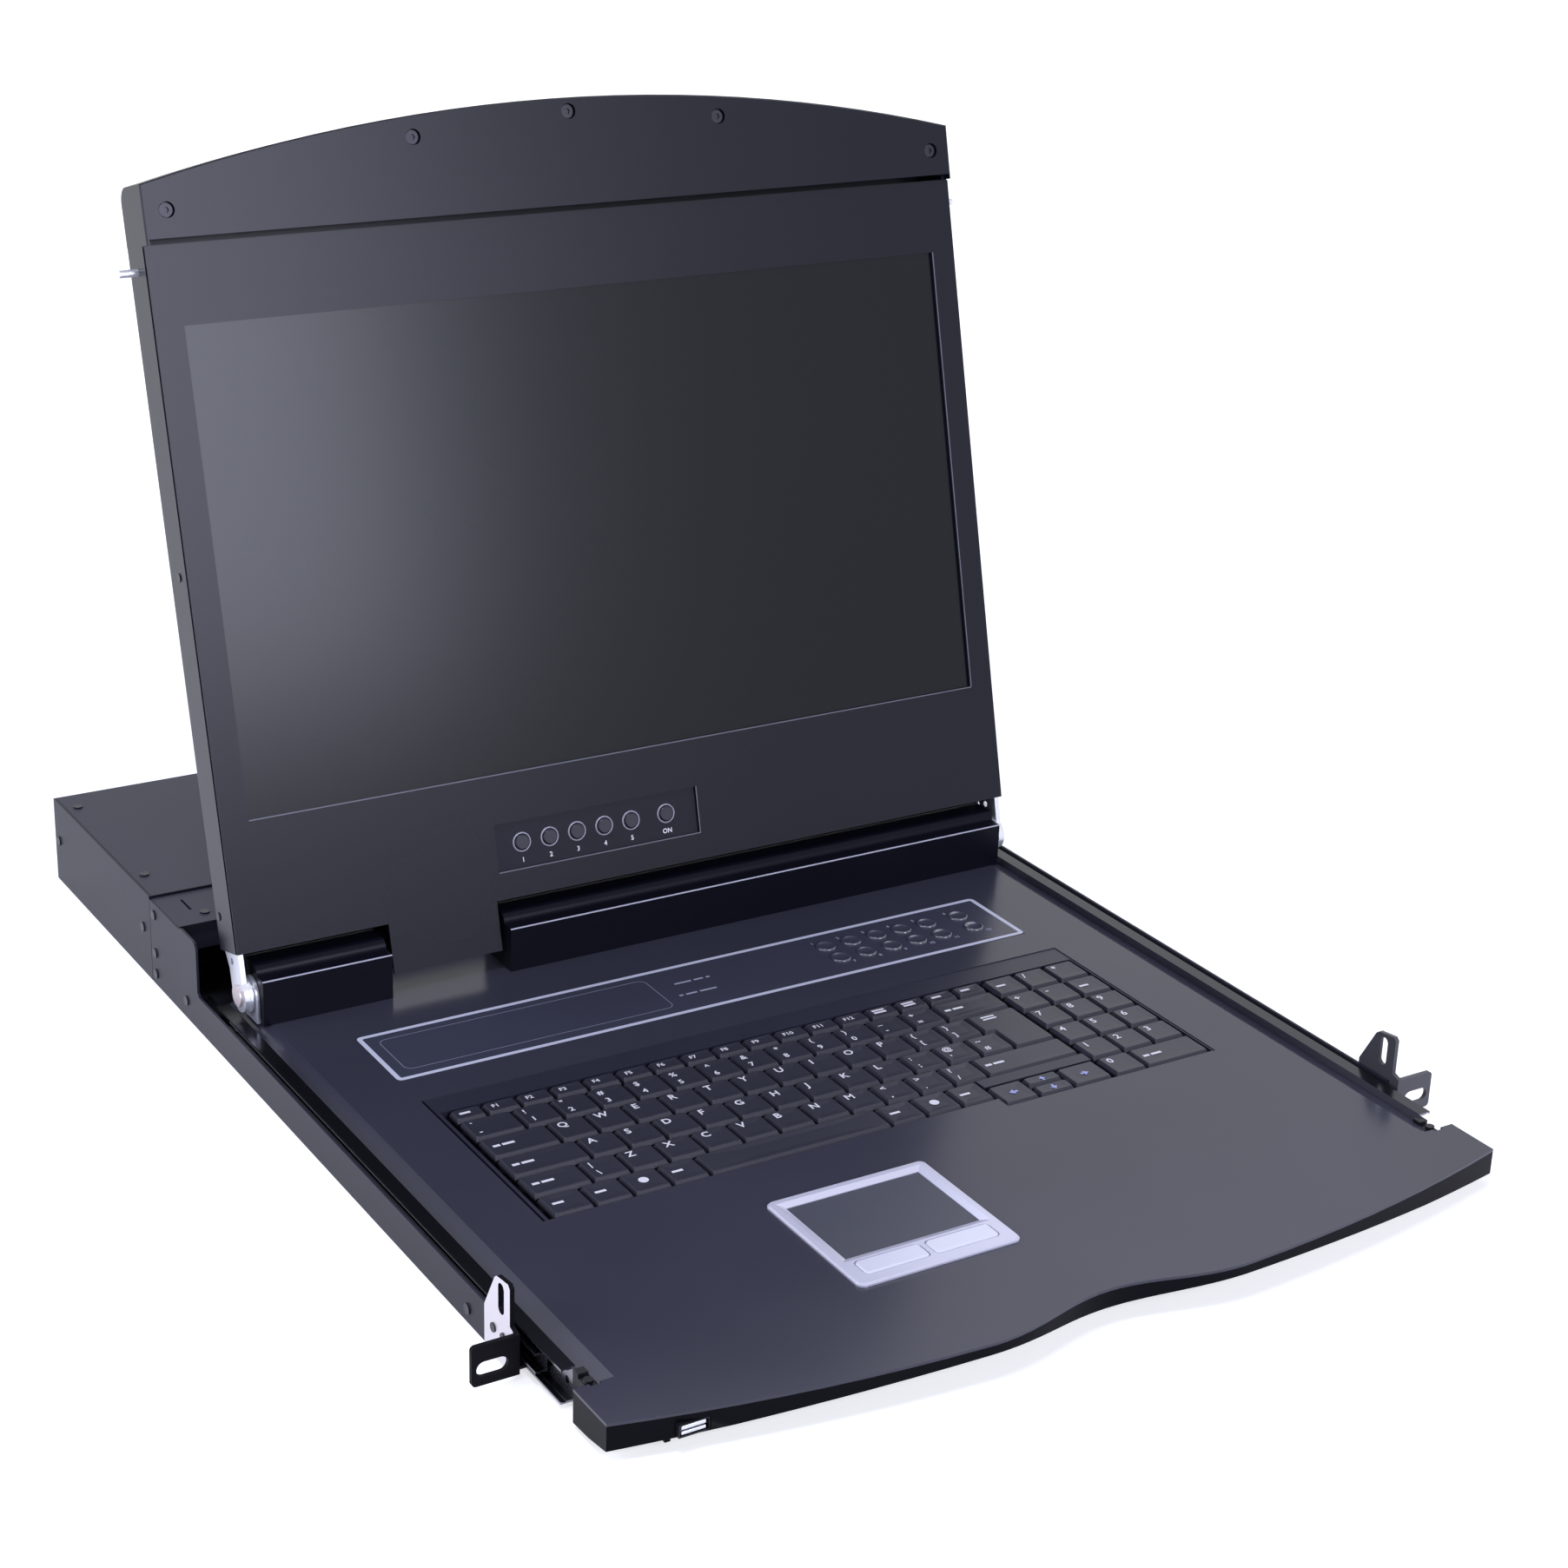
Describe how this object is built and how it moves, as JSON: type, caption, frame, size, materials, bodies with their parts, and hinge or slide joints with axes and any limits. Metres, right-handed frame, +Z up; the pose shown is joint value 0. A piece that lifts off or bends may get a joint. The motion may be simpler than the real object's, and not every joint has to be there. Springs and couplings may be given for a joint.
{
  "type": "rackmount lcd console drawer",
  "caption": "Rack console drawer: a sliding tray with keyboard and touchpad, and a flat screen lid that folds down onto it.",
  "frame": {"origin": "midway between the two rack ear slots, on the face of the ears that lies on the rack posts", "axes": "+X user's right, +Y into the rack, +Z up"},
  "size_m": [0.4826, 0.6258, 0.4107],
  "materials": {
    "chassis_paint": "satin powder coat",
    "ear_paint": "satin powder coat",
    "lid_paint": "satin powder coat",
    "deck_paint": "satin powder coat",
    "zinc_steel": "zinc plated",
    "bright_steel": "polished",
    "black_plastic": "moulded, fine texture",
    "key_plastic": "moulded, fine texture",
    "silver_plastic": "painted silver",
    "panel_film": "printed polyester film",
    "screen_glass": "anti-glare",
    "board": "solder mask"
  },
  "bodies": {
    "chassis": {"chassis_pan": "chassis_paint", "rear_housing": "chassis_paint", "rear_cover": "chassis_paint", "bridge_plate": "chassis_paint", "port_sockets": "bright_steel", "power_inlet": "black_plastic", "switch_board": "board", "power_supply": "zinc_steel", "chassis_screws": "bright_steel", "rack_ear_right": "ear_paint", "rack_ear_left": "ear_paint", "slide_outer_right": "zinc_steel", "slide_outer_left": "zinc_steel"},
    "slide_middles": {"slide_middle_right": "zinc_steel", "slide_middle_left": "zinc_steel", "slide_balls": "bright_steel"},
    "tray": {"tray_deck": "deck_paint", "tray_base": "chassis_paint", "front_handle": "black_plastic", "slide_inner_right": "zinc_steel", "slide_inner_left": "zinc_steel", "slide_stops": "black_plastic", "usb_port": "bright_steel", "select_panel": "panel_film", "keyboard_plate": "zinc_steel", "keyboard_frame": "key_plastic", "touchpad_bezel": "silver_plastic", "touch_surface": "panel_film", "hinge_cover_left": "lid_paint", "hinge_cover_right": "lid_paint", "hinge_brackets": "bright_steel"},
    "lid": {"lid_shell": "lid_paint", "lid_bezel": "lid_paint", "lcd_panel": "screen_glass", "lid_handle": "lid_paint", "lid_screws": "bright_steel", "osd_panel": "black_plastic", "osd_board": "board", "hinge_arms": "bright_steel", "hinge_pins": "bright_steel", "friction_washers": "zinc_steel"},
    "latch_right": {"latch_pin_right": "bright_steel"},
    "latch_left": {"latch_pin_left": "bright_steel"},
    "touch_left": {"touch_button_left": "silver_plastic"},
    "touch_right": {"touch_button_right": "silver_plastic"},
    "select_keys": {"select_buttons": "panel_film"},
    "keys_function_row_body": {"keys_function_row": "key_plastic"},
    "keys_number_row_body": {"keys_number_row": "key_plastic"},
    "keys_upper_row_body": {"keys_upper_row": "key_plastic"},
    "keys_home_row_body": {"keys_home_row": "key_plastic"},
    "keys_lower_row_body": {"keys_lower_row": "key_plastic"},
    "keys_space_row_body": {"keys_space_row": "key_plastic"},
    "keys_arrows_body": {"keys_arrows": "key_plastic"},
    "keys_number_pad_body": {"keys_number_pad": "key_plastic"},
    "osd_key_1": {"osd_button_1": "silver_plastic"},
    "osd_key_2": {"osd_button_2": "silver_plastic"},
    "osd_key_3": {"osd_button_3": "silver_plastic"},
    "osd_key_4": {"osd_button_4": "silver_plastic"},
    "osd_key_5": {"osd_button_5": "silver_plastic"},
    "osd_key_6": {"osd_button_6": "silver_plastic"}
  },
  "joints": [
    {"name": "tray_slide", "type": "slide", "parent": "chassis", "child": "tray", "axis": [0, 1, 0], "range_m": [-0.32, 0.0365]},
    {"name": "middle_slide", "type": "slide", "parent": "chassis", "child": "slide_middles", "axis": [0, 1, 0], "range_m": [-0.16, 0.01825]},
    {"name": "lid_hinge", "type": "hinge", "parent": "tray", "child": "lid", "pos_m": [0, 0.302, 0.0196], "axis": [1, 0, 0], "range_deg": [-12, 104.4]},
    {"name": "osd_press_1", "type": "slide", "parent": "lid", "child": "osd_key_1", "axis": [0, 0.9686, -0.2487], "range_m": [0, 0.001], "stiffness_N_per_m": 300},
    {"name": "osd_press_2", "type": "slide", "parent": "lid", "child": "osd_key_2", "axis": [0, 0.9686, -0.2487], "range_m": [0, 0.001], "stiffness_N_per_m": 300},
    {"name": "osd_press_3", "type": "slide", "parent": "lid", "child": "osd_key_3", "axis": [0, 0.9686, -0.2487], "range_m": [0, 0.001], "stiffness_N_per_m": 300},
    {"name": "osd_press_4", "type": "slide", "parent": "lid", "child": "osd_key_4", "axis": [0, 0.9686, -0.2487], "range_m": [0, 0.001], "stiffness_N_per_m": 300},
    {"name": "osd_press_5", "type": "slide", "parent": "lid", "child": "osd_key_5", "axis": [0, 0.9686, -0.2487], "range_m": [0, 0.001], "stiffness_N_per_m": 300},
    {"name": "osd_press_6", "type": "slide", "parent": "lid", "child": "osd_key_6", "axis": [0, 0.9686, -0.2487], "range_m": [0, 0.001], "stiffness_N_per_m": 300},
    {"name": "latch_right_pull", "type": "slide", "parent": "lid", "child": "latch_right", "axis": [-1, 0, 0], "range_m": [0, 0.004], "stiffness_N_per_m": 500},
    {"name": "latch_left_pull", "type": "slide", "parent": "lid", "child": "latch_left", "axis": [1, 0, 0], "range_m": [0, 0.004], "stiffness_N_per_m": 500},
    {"name": "touch_left_press", "type": "slide", "parent": "tray", "child": "touch_left", "axis": [0, 0, -1], "range_m": [0, 0.0005], "stiffness_N_per_m": 600},
    {"name": "touch_right_press", "type": "slide", "parent": "tray", "child": "touch_right", "axis": [0, 0, -1], "range_m": [0, 0.0005], "stiffness_N_per_m": 600},
    {"name": "select_press", "type": "slide", "parent": "tray", "child": "select_keys", "axis": [0, 0, -1], "range_m": [0, 0.0004], "stiffness_N_per_m": 800},
    {"name": "press_function_row", "type": "slide", "parent": "tray", "child": "keys_function_row_body", "axis": [0, 0, -1], "range_m": [0, 0.002], "stiffness_N_per_m": 1200},
    {"name": "press_number_row", "type": "slide", "parent": "tray", "child": "keys_number_row_body", "axis": [0, 0, -1], "range_m": [0, 0.002], "stiffness_N_per_m": 1200},
    {"name": "press_upper_row", "type": "slide", "parent": "tray", "child": "keys_upper_row_body", "axis": [0, 0, -1], "range_m": [0, 0.002], "stiffness_N_per_m": 1200},
    {"name": "press_home_row", "type": "slide", "parent": "tray", "child": "keys_home_row_body", "axis": [0, 0, -1], "range_m": [0, 0.002], "stiffness_N_per_m": 1200},
    {"name": "press_lower_row", "type": "slide", "parent": "tray", "child": "keys_lower_row_body", "axis": [0, 0, -1], "range_m": [0, 0.002], "stiffness_N_per_m": 1200},
    {"name": "press_space_row", "type": "slide", "parent": "tray", "child": "keys_space_row_body", "axis": [0, 0, -1], "range_m": [0, 0.002], "stiffness_N_per_m": 1200},
    {"name": "press_arrows", "type": "slide", "parent": "tray", "child": "keys_arrows_body", "axis": [0, 0, -1], "range_m": [0, 0.002], "stiffness_N_per_m": 1200},
    {"name": "press_number_pad", "type": "slide", "parent": "tray", "child": "keys_number_pad_body", "axis": [0, 0, -1], "range_m": [0, 0.002], "stiffness_N_per_m": 1200}
  ],
  "couplings": [
    {"joint": "middle_slide", "follows": "tray_slide", "ratio": 0.5}
  ]
}
